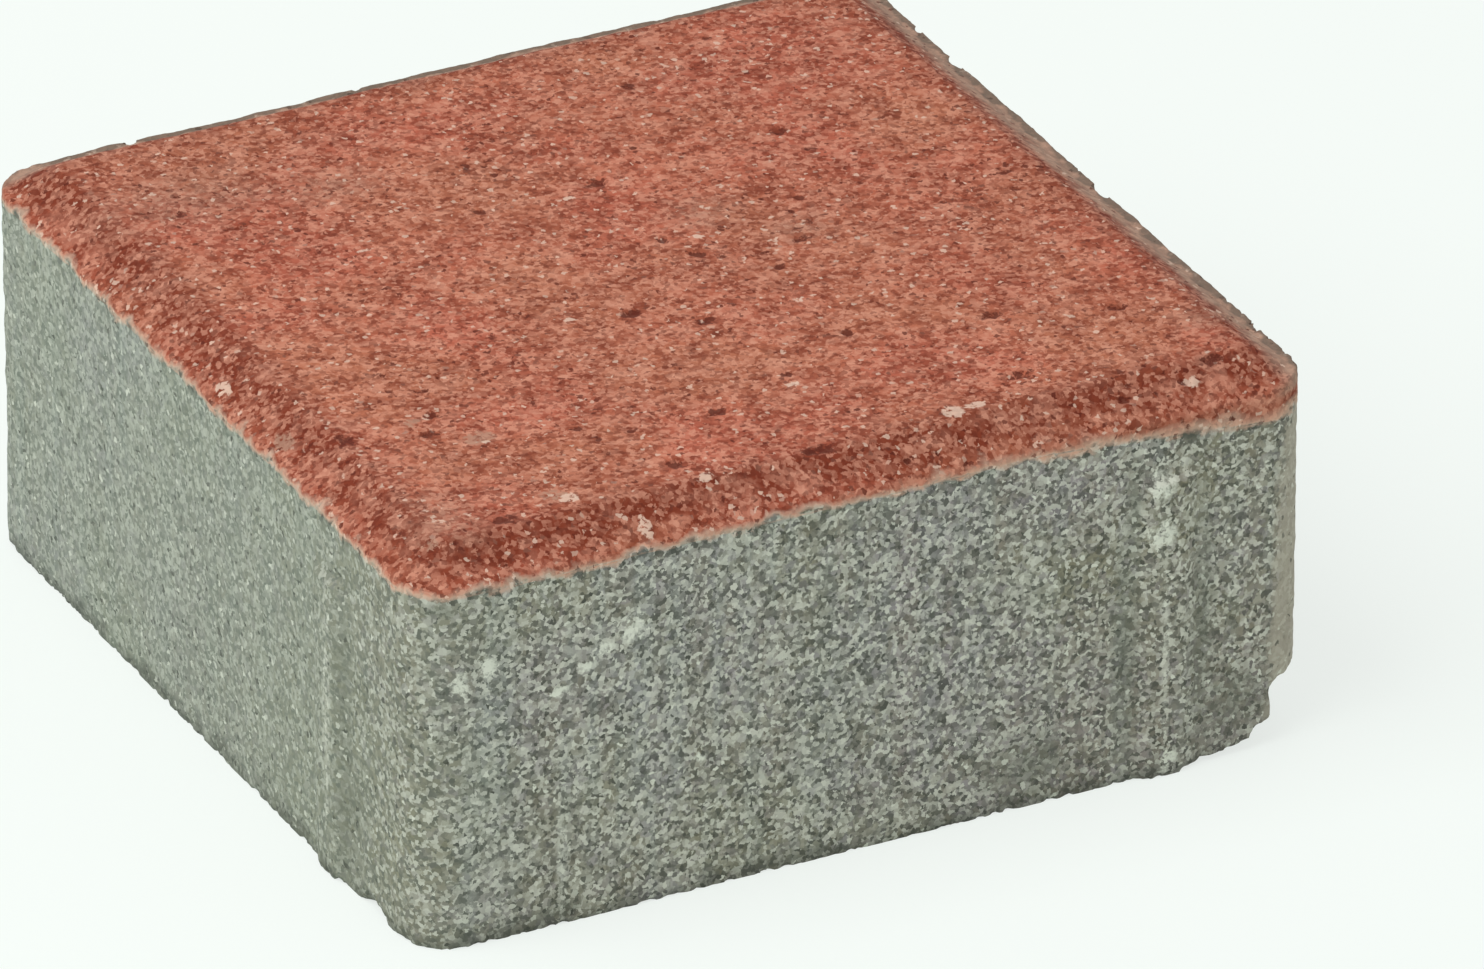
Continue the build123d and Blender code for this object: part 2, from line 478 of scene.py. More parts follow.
class StoneColours(bpy.types.PropertyGroup):
    """Colours of the two concretes."""

    facing_red: colour_property("Facing red", "Iron oxide red of the worn facing", "#BC634B")
    facing_shade: colour_property("Facing shade", "Red cement between the grains", "#7A3019")
    # Dark open pores and dark grains of the facing, and the painted shade in its pits and hollows
    facing_pore_and_shade: colour_property("Facing pore", "Dark open pores of the facing", "#561B0C")
    facing_grain: colour_property("Facing grain", "Sand that shows through the red", "#DEA086")
    facing_stone: colour_property("Facing stone", "Pale aggregate worn bare", "#E6C9B4")
    facing_dull: colour_property("Facing dull stone", "Grey aggregate worn bare", "#AE8B76")
    facing_tan: colour_property("Facing tan", "Patches where the red is worn thin", "#B28862")
    facing_rim: colour_property("Facing rim", "Pale red where the two concretes meet", "#D8BAA3")
    facing_film: colour_property("Facing film", "Pale cement film on the far chamfer", "#B3A08C")
    core_grey: colour_property("Core grey", "Cement grey of the core", "#9C9C8D")
    # Open pores of the core, and the painted shade in its pits and hollows and along its foot
    core_dark: colour_property("Core dark", "Open pores of the core", "#474A42")
    core_grain: colour_property("Core grain", "Pale sand of the core", "#D7D8CA")
    core_blue: colour_property("Core blue", "Cool streaks of the core", "#939E99")
    core_mauve: colour_property("Core mauve", "Broad patches of the core", "#A097A1")
    # Painted shade: the flatter, darker tone of the -X wall, for how that wall is lit
    core_side_shade: colour_property("Core skin", "Smoother skin of the -X wall", "#8E988B")
    # Also the colour of the painted shade towards the near end of the -X wall, and of the darker zone towards
    # +X and the underside
    core_brown: colour_property("Core brown", "Brown stain low on the core", "#746C4C")
    # Painted highlight: light beige for the light that the rounded near corner under +X catches
    core_corner_highlight: colour_property("Core beige", "Smooth skin of the near corner under +X", "#B2AB9B")
    # Damp and dirt beside the ribs, and the painted shade on the near flank of the -X wall's rib
    core_stain_and_shade: colour_property("Core stain", "Damp and dirt beside the ribs", "#6B6F62")
    core_scuff: colour_property("Core scuff", "Lime bloom and scuffs", "#E4E7D8")


class StageLights(bpy.types.PropertyGroup):
    """Light of the stage."""

    key_power: FloatProperty(name="Key", description="Power of the large lamp in watts", default=11.5, min=0)
    fill_strength: FloatProperty(name="Fill", description="Strength of the even light", default=0.56, min=0)


def add_node(tree, kind, *feeds, give=None, named=None, **settings):
    """Adds a node with its settings, links or sets its inputs, and returns one of its outputs.

    feeds are for the inputs in use, in their order, and None leaves one alone; named holds more by name.
    The output is the one named by give, or the first in use.
    """
    made = tree.nodes.new(kind)
    for name, value in settings.items():
        setattr(made, name, value)
    pairs = list(zip([s for s in made.inputs if s.enabled], feeds))
    pairs += [(made.inputs[name], value) for name, value in (named or {}).items()]
    for socket, value in pairs:
        if isinstance(value, bpy.types.NodeSocket):
            tree.links.new(value, socket)
        elif value is not None:
            socket.default_value = value
    outputs = [s for s in made.outputs if s.enabled and give in (None, s.name)]
    return outputs[0] if outputs else None


def deselect():
    for chosen in list(bpy.context.selected_objects):
        chosen.select_set(False)


def choose(thing):
    deselect()
    thing.select_set(True)
    bpy.context.view_layer.objects.active = thing


def apply_modifier(thing, kind, **settings):
    """Adds a modifier with its settings and applies it."""
    choose(thing)
    modifier = thing.modifiers.new(kind.title(), kind)
    for name, value in settings.items():
        setattr(modifier, name, value)
    bpy.ops.object.modifier_apply(modifier=modifier.name)


def discard(thing):
    mesh = thing.data
    bpy.data.objects.remove(thing)
    bpy.data.meshes.remove(mesh)


def add_block(name, low, high):
    """A cube primitive stretched from one corner to the other, with its place in its mesh."""
    deselect()
    low, high = Vector(low), Vector(high)
    bpy.ops.mesh.primitive_cube_add(size=1, location=(low + high) / 2, scale=high - low)
    block = bpy.context.active_object
    block.name = name
    bpy.ops.object.transform_apply(location=True, rotation=True, scale=True)
    return block


def select_edges(thing, wanted):
    """Selects the edges whose two ends satisfy wanted(a, b), and leaves edit mode on."""
    choose(thing)
    bpy.ops.object.mode_set(mode="EDIT")
    bpy.ops.mesh.select_mode(type="EDGE")
    bpy.ops.mesh.select_all(action="DESELECT")
    bpy.ops.object.mode_set(mode="OBJECT")
    points = [v.co for v in thing.data.vertices]
    for edge in thing.data.edges:
        edge.select = wanted(*(points[i] for i in edge.vertices))
    bpy.ops.object.mode_set(mode="EDIT")


def select_faces(thing, wanted):
    """Selects the faces whose centre and normal satisfy wanted(centre, normal), and leaves edit mode on."""
    choose(thing)
    bpy.ops.object.mode_set(mode="EDIT")
    bpy.ops.mesh.select_mode(type="FACE")
    bpy.ops.mesh.select_all(action="DESELECT")
    bpy.ops.object.mode_set(mode="OBJECT")
    for face in thing.data.polygons:
        face.select = wanted(face.center, face.normal)
    bpy.ops.object.mode_set(mode="EDIT")


def leave_edit():
    bpy.ops.object.mode_set(mode="OBJECT")


def join(things):
    choose(things[0])
    for thing in things[1:]:
        thing.select_set(True)
    bpy.ops.object.join()
    return things[0]


def mould_block(sizes):
    """The stone as the mould leaves it, before the ribs: upright walls, rounded corners, chamfered top."""
    shoulder = FACING_HIGH.z - sizes.chamfer_drop
    foot = (FACING_LOW.x, FACING_LOW.y, CORE_LOW.z)
    block = add_block("stone", foot, (FACING_HIGH.x, FACING_HIGH.y, shoulder))
    select_edges(block, lambda a, b: abs(a.z - b.z) > shoulder / 2)
    bpy.ops.mesh.bevel(offset=sizes.corner_radius, segments=CORNER_SEGMENTS, affect="EDGES")
    select_faces(block, lambda centre, normal: normal.z > LOOKS_ALONG)
    first_inset = sizes.corner_radius - sizes.flat_corner_radius
    bpy.ops.mesh.inset(thickness=first_inset)
    bpy.ops.transform.translate(value=(0, 0, sizes.chamfer_drop))
    stone_length = FACING_HIGH.x - FACING_LOW.x
    stretch = (stone_length - 2 * sizes.chamfer_run) / (stone_length - 2 * first_inset)
    bpy.ops.transform.resize(value=(stretch, stretch, 1), center_override=(0, 0, FACING_HIGH.z))
    leave_edit()
    return block


def spacer_rib(sizes, turn, from_corner):
    """A rib on the near wall, narrowed to its crest and sloped back at its top, then turned to its wall."""
    projection = CORE_HIGH.x - FACING_HIGH.x
    middle = FACING_HIGH.x - from_corner
    wall, crest = FACING_LOW.y, FACING_LOW.y - projection
    half_base = sizes.rib_base_width / 2
    buried = RIB_ROOT * projection
    rib = add_block(
        "rib", (middle - half_base, crest, CORE_LOW.z), (middle + half_base, wall + buried, sizes.rib_height)
    )
    narrow = sizes.rib_crest_width / sizes.rib_base_width
    select_faces(rib, lambda centre, normal: normal.y < -LOOKS_ALONG)
    bpy.ops.transform.resize(value=(narrow, 1, 1), center_override=(middle, crest, 0))
    select_faces(rib, lambda centre, normal: normal.y > LOOKS_ALONG)
    widen = 1 + (1 - narrow) * buried / projection
    bpy.ops.transform.resize(value=(widen, 1, 1), center_override=(middle, wall + buried, 0))
    select_edges(rib, lambda a, b: min(a.z, b.z) > sizes.rib_height / 2 and max(a.y, b.y) < wall)
    bpy.ops.transform.translate(value=(0, 0, -sizes.rib_taper))
    select_edges(rib, lambda a, b: abs(a.z - b.z) > sizes.rib_height / 2 and max(a.y, b.y) < wall)
    bpy.ops.mesh.bevel(offset=RIB_ROUNDING, segments=3, affect="EDGES")
    leave_edit()
    rib.data.transform(Matrix.Rotation(turn, 4, "Z"))
    return rib


def edge_chips(sizes):
    """Middles, radii and turns of the chips along the bottom edges, the shoulder and the upright corners."""
    draw = random.Random(sizes.seed)
    half, corner = FACING_HIGH.x, FACING_HIGH.x - sizes.corner_radius
    shoulder = FACING_HIGH.z - sizes.chamfer_drop
    chips = []
    for turn in range(4):
        around = Matrix.Rotation(turn * math.pi / 2, 3, "Z")
        for level, (count, reach) in ((CORE_LOW.z, FOOT_CHIPS), (shoulder, SHOULDER_CHIPS)):
            for _ in range(count):
                along = draw.uniform(-1, 1) * corner
                deep = reach * MM * draw.uniform(*CHIP_SHARES) ** CHIP_POWER
                long = deep * draw.uniform(*CHIP_LENGTHS)
                high = deep * draw.uniform(*CHIP_HEIGHTS)
                place = around @ Vector((along, -half - deep * CHIP_OUTSIDE, level))
                tilt = Matrix.Rotation(draw.uniform(-CHIP_TILT, CHIP_TILT), 3, "Y")
                chips.append((place, (long, deep, high), around @ tilt))
        for _ in range(CORNER_CHIPS):
            swing = draw.uniform(-0.9, 0.9) * CORNER_CHIP_SPREAD
            outward = around @ Matrix.Rotation(math.pi / 4 + swing, 3, "Z") @ Vector((0, -1, 0))
            middle = around @ Vector((corner, -corner, draw.uniform(*CORNER_CHIP_LEVELS) * MM))
            deep = draw.uniform(*CORNER_CHIP_DEPTHS) * MM
            place = middle + outward * (sizes.corner_radius + deep * CORNER_CHIP_OUTSIDE)
            wide, high = deep * CORNER_CHIP_WIDTH, deep * draw.uniform(*CORNER_CHIP_HEIGHTS)
            chips.append((place, (wide, wide, high), around))
    radii = Vector((EDGE_CHIP_RADIUS,) * 3) * MM
    chips.append((Vector(EDGE_CHIP_MIDDLE) * MM, radii, Matrix.Identity(3)))
    return chips


def chip_cutter(chips):
    """One mesh of rough lumps, each at its middle, that a Boolean takes away."""
    lumps = []
    for place, radii, turn in chips:
        deselect()
        bpy.ops.mesh.primitive_ico_sphere_add(subdivisions=2, radius=1)
        lump = bpy.context.active_object
        lump.data.transform(Matrix.Translation(place) @ turn.to_4x4() @ Matrix.Diagonal((*radii, 1)))
        lumps.append(lump)
    return join(lumps)


def broken_corner():
    """What is broken off the bottom corner: its outline on the near wall, drawn back and narrowed."""
    deselect()
    bpy.ops.mesh.primitive_circle_add(vertices=len(BROKEN_OUTLINE), fill_type="NGON")
    fracture = bpy.context.active_object
    for vertex, (inward, up) in zip(fracture.data.vertices, BROKEN_OUTLINE):
        vertex.co = (FACING_HIGH.x - inward * MM, FACING_LOW.y - BREAK_FULL_DEPTH * MM, up * MM)
    select_faces(fracture, lambda centre, normal: True)
    for depth in (2 * BREAK_FULL_DEPTH, BREAK_TAPER_DEPTH):
        bpy.ops.mesh.extrude_region_move(TRANSFORM_OT_translate={"value": (0, depth * MM, 0)})
    anchor = (FACING_HIGH.x - BREAK_ANCHOR[0] * MM, 0, BREAK_ANCHOR[1] * MM)
    bpy.ops.transform.resize(value=(BREAK_LEFT_AT_BACK, 1, BREAK_LEFT_AT_BACK), center_override=anchor)
    bpy.ops.mesh.select_all(action="SELECT")
    bpy.ops.mesh.normals_make_consistent(inside=False)
    leave_edit()
    return fracture


def shoulder_fin(sizes):
    """A slab whose rim is the thin fin that the stamp left along the far wall and the +X wall."""
    shoulder = FACING_HIGH.z - sizes.chamfer_drop
    fin = add_block(
        "fin",
        (FACING_LOW.x, FACING_LOW.y, shoulder - FIN_ROOT),
        (FACING_HIGH.x, FACING_HIGH.y, shoulder + sizes.fin_height),
    )
    select_edges(fin, lambda a, b: abs(a.z - b.z) > FIN_ROOT / 2)
    bpy.ops.mesh.bevel(offset=sizes.corner_radius, segments=CORNER_SEGMENTS, affect="EDGES")
    select_faces(fin, lambda centre, normal: normal.z > LOOKS_ALONG)
    bpy.ops.mesh.inset(thickness=FIN_CREST_SHARE * sizes.fin_width)
    bpy.ops.mesh.inset(thickness=(1 - FIN_CREST_SHARE) * sizes.fin_width)
    bpy.ops.transform.translate(value=(0, 0, -sizes.fin_height))
    leave_edit()
    # Its crest is pressed back down where the shoulder has no fin, along the near wall and the -X wall
    straight = FACING_HIGH.x - sizes.corner_radius - SLACK
    crest = shoulder + sizes.fin_height / 2
    select_edges(
        fin,
        lambda a, b: min(a.z, b.z) > crest
        and (
            (max(a.y, b.y) < -straight and min(a.x, b.x) < straight)
            or (max(a.x, b.x) < -straight and min(a.y, b.y) < straight)
        ),
    )
    bpy.ops.transform.translate(value=(0, 0, -sizes.fin_height))
    leave_edit()
    return fin


def nearest_mark(add, place, marks):
    """How far place is from the nearest of the marks, where 1 is at the edge of a mark's ellipsoid."""
    nearest = None
    for middle, radii in marks:
        apart = add("ShaderNodeVectorMath", place, middle, operation="SUBTRACT")
        shares = [1 / radius for radius in radii]
        scaled = add("ShaderNodeVectorMath", apart, shares, operation="MULTIPLY")
        far = add("ShaderNodeVectorMath", scaled, operation="LENGTH")
        if nearest is None:
            nearest = far
        else:
            nearest = add("ShaderNodeMath", nearest, far, operation="MINIMUM")
    return nearest


def patches(add, place, size, detail, start, end):
    """Soft-edged patches about as wide as the size, from 0 at one level of the noise to 1 at another."""
    return add("ShaderNodeMapRange", add("ShaderNodeTexNoise", place, 1 / size, detail), start, end)


def relief_tree():
    """The uneven surface as Geometry Nodes: sway, lumps, worn pits, hollows and bared stones.

    Keeps where each point lies in a pit, a mark or a broad patch as attributes, for the materials.
    """
    tree = bpy.data.node_groups.new("relief", "GeometryNodeTree")
    tree.interface.new_socket("Geometry", in_out="INPUT", socket_type="NodeSocketGeometry")
    tree.interface.new_socket("Geometry", in_out="OUTPUT", socket_type="NodeSocketGeometry")
    add = partial(add_node, tree)
    position = add("GeometryNodeInputPosition")
    place = add("ShaderNodeVectorMath", position, 1 / MM, operation="SCALE")
    height = RELIEF_LEVEL
    for size, amount, detail in UNEVENNESS:
        noise = add("ShaderNodeTexNoise", place, 1 / size, detail, UNEVENNESS_ROUGHNESS)
        centred = add("ShaderNodeMath", noise, 0.5, operation="SUBTRACT")
        height = add("ShaderNodeMath", centred, amount, height, operation="MULTIPLY_ADD")

    # Pits where grains came out, in clusters, and the hollows and stones that the marks place
    noise = add("ShaderNodeTexNoise", place, 1 / RAGGED_SIZE, 2.0, give="Color")
    centred = add("ShaderNodeVectorMath", noise, (0.5, 0.5, 0.5), operation="SUBTRACT")
    ragged = add("ShaderNodeVectorMath", centred, (RAGGED_REACH,) * 3, place, operation="MULTIPLY_ADD")
    clusters = patches(add, place, CLUSTER_SIZE, 2.0, *PATCHES)
    pits = 0.0
    for spacing, radius in PITS:
        apart = add("ShaderNodeTexVoronoi", ragged, 1 / spacing)
        apart = add("ShaderNodeMath", apart, spacing, operation="MULTIPLY")
        deep = add("ShaderNodeMath", clusters, radius, operation="MULTIPLY")
        deep = add("ShaderNodeMath", deep, apart, operation="SUBTRACT")
        deep = add("ShaderNodeMapRange", deep, 0.0, radius * PIT_SLOPE)
        pits = add("ShaderNodeMath", deep, pits, operation="MAXIMUM")
    placed = add("ShaderNodeMapRange", nearest_mark(add, ragged, TOP_HOLLOWS), *HOLLOW_EDGE)
    height = add("ShaderNodeMath", pits, -PIT_DEPTH, height, operation="MULTIPLY_ADD")
    height = add("ShaderNodeMath", placed, -HOLLOW_DEPTH, height, operation="MULTIPLY_ADD")
    bared = add("ShaderNodeMapRange", nearest_mark(add, ragged, BARED_STONES), *BARED_STONE_EDGE)
    height = add("ShaderNodeMath", bared, BARED_STONE_HEIGHT, height, operation="MULTIPLY_ADD")

    # The underside is pressed flat, and its edges crumble
    level = add("ShaderNodeSeparateXYZ", place, give="Z")
    uneven = add("ShaderNodeMapRange", level, *FLAT_UNDERSIDE)
    height = add("ShaderNodeMath", height, uneven, operation="MULTIPLY")
    foot = add("ShaderNodeMapRange", level, *CRUMBLING_FOOT)
    crumbs = patches(add, place, CRUMB_SIZE, 3.0, *CRUMBS)
    crumbs = add("ShaderNodeMath", crumbs, foot, operation="MULTIPLY")
    height = add("ShaderNodeMath", crumbs, -CRUMB_DEPTH, height, operation="MULTIPLY_ADD")

    # The pits and the placed hollows, kept as one mask for the painted shade in them
    kept = {"hollow": add("ShaderNodeMath", pits, 0.8, placed, operation="MULTIPLY_ADD")}
    for name, marks, edge in KEPT_MARKS:
        kept[name] = add("ShaderNodeMapRange", nearest_mark(add, ragged, marks), *edge)
    kept["cloud"] = patches(add, place, CLOUD_SIZE, 2.0, *PATCHES)
    kept["sweep"] = patches(add, place, SWEEP_SIZE, 3.0, *SWEEPS)
    swing = add("ShaderNodeTexNoise", place, 1 / SWING_SIZE, 3.0)
    kept["swing"] = add("ShaderNodeMath", swing, 0.5, operation="SUBTRACT")
    surface = add("NodeGroupInput")
    for name, value in kept.items():
        surface = add("GeometryNodeStoreNamedAttribute", surface, None, name, value)

    # Every point moves along its normal and stays inside the box of the solids
    normal = add("GeometryNodeInputNormal")
    metres = add("ShaderNodeMath", height, MM, operation="MULTIPLY")
    moved = add("ShaderNodeVectorMath", normal, metres, operation="SCALE")
    moved = add("ShaderNodeVectorMath", position, moved, operation="ADD")
    moved = add("ShaderNodeVectorMath", moved, CAD_BOX[0], operation="MAXIMUM")
    moved = add("ShaderNodeVectorMath", moved, CAD_BOX[1], operation="MINIMUM")
    add("NodeGroupOutput", add("GeometryNodeSetPosition", surface, None, moved))
    return tree


def whole_stone(sizes):
    """The full stone with ribs, chips and relief, made once and copied for each of the two pieces."""
    kept = bpy.data.meshes.get("stone_blank")
    if kept:
        stone = bpy.data.objects.new("stone", kept.copy())
        bpy.context.scene.collection.objects.link(stone)
        return stone
    stone = mould_block(sizes)
    from_corners = (sizes.rib_near_wall, sizes.rib_side_wall) * 2
    ribs = [spacer_rib(sizes, wall * math.pi / 2, far) for wall, far in enumerate(from_corners)]
    for addition in (*ribs, shoulder_fin(sizes)):
        apply_modifier(stone, "BOOLEAN", operation="UNION", solver="EXACT", object=addition)
        discard(addition)
    lumps = chip_cutter(edge_chips(sizes))
    apply_modifier(stone, "BOOLEAN", operation="DIFFERENCE", solver="EXACT", use_self=True, object=lumps)
    discard(lumps)
    fracture = broken_corner()
    apply_modifier(stone, "BOOLEAN", operation="DIFFERENCE", solver="EXACT", object=fracture)
    discard(fracture)
    apply_modifier(stone, "REMESH", mode="VOXEL", voxel_size=sizes.mesh_step)
    apply_modifier(stone, "SMOOTH", factor=0.5, iterations=2)
    apply_modifier(stone, "NODES", node_group=relief_tree())
    # Only the core is thinned, up to a little below the seam, which is left as fine as the facing
    coarse = stone.vertex_groups.new(name="coarse")
    below = FACING_HIGH.z - sizes.facing_thickness - sizes.facing_sag - 1.5 * MM
    coarse.add([v.index for v in stone.data.vertices if v.co.z < below], 1.0, "REPLACE")
    apply_modifier(stone, "DECIMATE", ratio=sizes.coarse_share, vertex_group="coarse")
    for vertex in stone.data.vertices:
        vertex.co = [min(max(value, low), high) for value, low, high in zip(vertex.co, *CAD_BOX)]
    stone.vertex_groups.clear()
    stone.data.name = "stone_blank"
    kept = stone.data
    stone.data = kept.copy()
    kept.use_fake_user = True
    return stone


def below_seam(sizes):
    """A block that fills all the space below the line where the two fills meet."""
    seam = FACING_HIGH.z - sizes.facing_thickness
    beyond = 2 * FACING_HIGH.x
    block = add_block("below_seam", (-beyond, -beyond, -beyond), (beyond, beyond, seam))
    start = FACING_HIGH.x - sizes.facing_sag_run
    select_faces(block, lambda centre, normal: True)
    bpy.ops.mesh.bisect(plane_co=(start, 0, 0), plane_no=(1, 0, 0))
    select_edges(block, lambda a, b: min(a.x, b.x) > (start + beyond) / 2 and min(a.z, b.z) > 0)
    fall = sizes.facing_sag * (beyond - start) / sizes.facing_sag_run
    bpy.ops.transform.translate(value=(0, 0, -fall))
    leave_edit()
    return block


def cut_at_seam(stone, sizes, operation):
    """Cuts the whole stone down to one of its two fills."""
    block = below_seam(sizes)
    apply_modifier(stone, "BOOLEAN", operation=operation, solver="MANIFOLD", object=block)
    discard(block)
    choose(stone)
    bpy.ops.object.shade_smooth_by_angle(angle=math.radians(SMOOTH_ANGLE))


def grain_masks(add, place):
    """Grit and sand, each grain with its own tone and a ragged edge, as masks from 0 to 1 by name."""
    tone = add("ShaderNodeTexNoise", place, 1 / TONE_SIZE, 3.0, 0.8)
    fray = tone.node.outputs["Color"]
    ragged = add("ShaderNodeVectorMath", fray, (GRAIN_REACH,) * 3, place, operation="MULTIPLY_ADD")
    clot = add("ShaderNodeTexVoronoi", ragged, 1 / GRIT_SIZE, give="Color")
    clot, hue = (add("ShaderNodeSeparateColor", clot, give=channel) for channel in ("Red", "Green"))
    cell = add("ShaderNodeTexVoronoi", ragged, 1 / SAND_SIZE, give="Color")
    grain, glint = (add("ShaderNodeSeparateColor", cell, give=channel) for channel in ("Red", "Green"))
    masks = {"tone": tone, "clot": clot, "grain": grain}
    for name, source, start, end in (
        ("sand", clot, 0.55, 1.0),
        ("pore", clot, 0.45, 0.0),
        ("warm", hue, 0.6, 1.0),
        ("cool", hue, 0.4, 0.0),
        ("light_grain", grain, 0.55, 1.0),
        ("dark_grain", grain, 0.45, 0.0),
        ("sparkle", glint, 0.97, 0.985),
        ("speck", glint, 0.035, 0.02),
    ):
        masks[name] = add("ShaderNodeMapRange", source, start, end)
    return masks


def wear_masks(add, place, masks):
    """Broad patches and marks that the relief keeps on the points, and the finer marks on the walls.

    The marks are broken up by the grit and the sand.
    """
    tone, grain = masks["tone"], masks["grain"]
    wear = {}
    for name in ("swing", "cloud", "sweep"):
        wear[name] = add("ShaderNodeAttribute", give="Fac", attribute_name=name)
    wear["clump"] = add("ShaderNodeMapRange", wear["swing"], *CLUMPS)
    wear["gap"] = add("ShaderNodeMapRange", wear["swing"], *GAPS)
    gritty = add("ShaderNodeMath", tone, 5.0, -2.0, operation="MULTIPLY_ADD")
    gritty = add("ShaderNodeMath", grain, gritty, operation="ADD")
    frayed = add("ShaderNodeVectorMath", tone.node.outputs["Color"], (0.5, 0.5, 0.5), operation="SUBTRACT")
    frayed = add("ShaderNodeVectorMath", frayed, (SCUFF_REACH,) * 3, place, operation="MULTIPLY_ADD")
    thin_marks = {
        "scuff": add("ShaderNodeMapRange", nearest_mark(add, frayed, WALL_SCUFFS), *SCUFF_EDGE),
        "line": add("ShaderNodeMapRange", nearest_mark(add, place, WALL_STREAKS), *LINE_EDGE),
    }
    for name, fade in MARK_FADES.items():
        mark = thin_marks.get(name) or add("ShaderNodeAttribute", give="Fac", attribute_name=name)
        mark = add("ShaderNodeMath", mark, gritty, operation="MULTIPLY")
        wear[name] = add("ShaderNodeMapRange", mark, *fade)
    return wear


def facing_masks(add, x, y, z, masks):
    """Zones of the facing: chamfer, rim at the seam, film by the far walls and crest of the fin."""
    swing = masks["swing"]
    edge = add(
        "ShaderNodeMath",
        add("ShaderNodeMath", x, operation="ABSOLUTE"),
        add("ShaderNodeMath", y, operation="ABSOLUTE"),
        operation="MAXIMUM",
    )
    edge = add("ShaderNodeMath", swing, CHAMFER_WANDER, edge, operation="MULTIPLY_ADD")
    chamfer = add("ShaderNodeMapRange", edge, *CHAMFER_ZONE)
    worn = add("ShaderNodeMapRange", edge, *WORN_EDGE_ZONE)
    zones = {"chamfer": add("ShaderNodeMath", chamfer, worn, operation="MULTIPLY")}

    # Height above the seam between the fills, which wanders with the swing and from grain to grain
    seam = add("ShaderNodeMapRange", x, *SEAM_LEVELS)
    above = add("ShaderNodeMath", z, seam, operation="SUBTRACT")
    above = add("ShaderNodeMath", swing, SEAM_WANDER, above, operation="MULTIPLY_ADD")
    for name, reach in SEAM_GRIT:
        centred = add("ShaderNodeMath", masks[name], 0.5, operation="SUBTRACT")
        above = add("ShaderNodeMath", centred, reach, above, operation="MULTIPLY_ADD")
    zones["facing"] = add("ShaderNodeMapRange", above, *SEAM_FADE)
    zones["rim"] = add("ShaderNodeMapRange", above, add("ShaderNodeMapRange", x, *RIM_WIDTHS), RIM_FOOT)
    seam_pits = add("ShaderNodeMapRange", above, *SEAM_PITS_ZONE)
    zones["seam_pits"] = add("ShaderNodeMath", seam_pits, masks["pore"], operation="MULTIPLY")

    # Pale cement film below the flat by the far wall and the +X wall, and the dark crest of the fin there
    far = add("ShaderNodeMath", x, y, operation="MAXIMUM")
    far = add("ShaderNodeMath", swing, FILM_WANDER, far, operation="MULTIPLY_ADD")
    film = add("ShaderNodeMapRange", far, *FILM_ZONE)
    for limit in (FILM_TOP, FILM_FOOT):
        film = add("ShaderNodeMath", film, add("ShaderNodeMapRange", z, *limit), operation="MULTIPLY")
    zones["film"] = film
    crest = add("ShaderNodeMapRange", far, *FIN_CREST_ZONE)
    crest_foot = add("ShaderNodeMapRange", z, *FIN_CREST_FOOT)
    zones["fin_crest"] = add("ShaderNodeMath", crest, crest_foot, operation="MULTIPLY")
    return zones


def core_masks(add, place, x, y, z, masks):
    """Zones of the core: painted shade that makes the -X wall flatter and darker, shade towards the broken
    corner, a painted highlight down the near corner, mould streaks, and the foot, darkened for dirt and for
    painted contact shade.
    """
    swing = masks["swing"]
    # Painted shade over the -X wall, flatter and darker, for how that wall is lit; it is weaker towards the
    # near end
    skin = add("ShaderNodeMapRange", x, *SIDE_SHADE_ZONE)
    near_end = add("ShaderNodeMapRange", y, *SIDE_SHADE_NEAR_END)
    zones = {"side_shade": add("ShaderNodeMath", skin, near_end, operation="MULTIPLY")}
    shade = add("ShaderNodeMath", z, SHADE_LEAN, x, operation="MULTIPLY_ADD")
    zones["shade"] = add("ShaderNodeMapRange", shade, *SHADE_ZONE)
    near_shade = add("ShaderNodeMath", z, NEAR_SHADE_LEAN, y, operation="MULTIPLY_ADD")
    near_shade = add("ShaderNodeMapRange", near_shade, *NEAR_SHADE_ZONE)
    left_wall = add("ShaderNodeMapRange", x, *NEAR_SHADE_WALL)
    zones["near_shade"] = add("ShaderNodeMath", near_shade, left_wall, operation="MULTIPLY")

    # A smooth painted highlight, standing for the light that the rounding catches, runs down the corner
    # between the near wall and the +X wall and is narrower towards its top
    corner = add("ShaderNodeMath", x, y, operation="SUBTRACT")
    for noise in (swing, masks["tone"]):
        corner = add("ShaderNodeMath", noise, CORNER_HIGHLIGHT_WANDER, corner, operation="MULTIPLY_ADD")
    corner = add("ShaderNodeMath", z, CORNER_HIGHLIGHT_NARROWS, corner, operation="MULTIPLY_ADD")
    zones["corner_highlight"] = add("ShaderNodeMapRange", corner, *CORNER_HIGHLIGHT_ZONE)
    drawn_up = add("ShaderNodeVectorMath", place, STREAK_SCALES, operation="MULTIPLY")
    zones["streak"] = patches(add, drawn_up, 1.0, 2.0, *STREAKS)
    # The foot is darkened for dirt and for painted contact shade
    foot = add("ShaderNodeMath", swing, FOOT_WANDER, z, operation="MULTIPLY_ADD")
    zones["foot"] = add("ShaderNodeMapRange", foot, *FOOT_ZONE)
    return zones


def painted(add, base, layers, masks, colours):
    """The base colour with each of the layers over it in turn."""
    for mask, strength, colour in layers:
        share = add("ShaderNodeMath", masks[mask], strength, operation="MULTIPLY")
        base = add("ShaderNodeMix", share, base, getattr(colours, colour), data_type="RGBA")
    return base


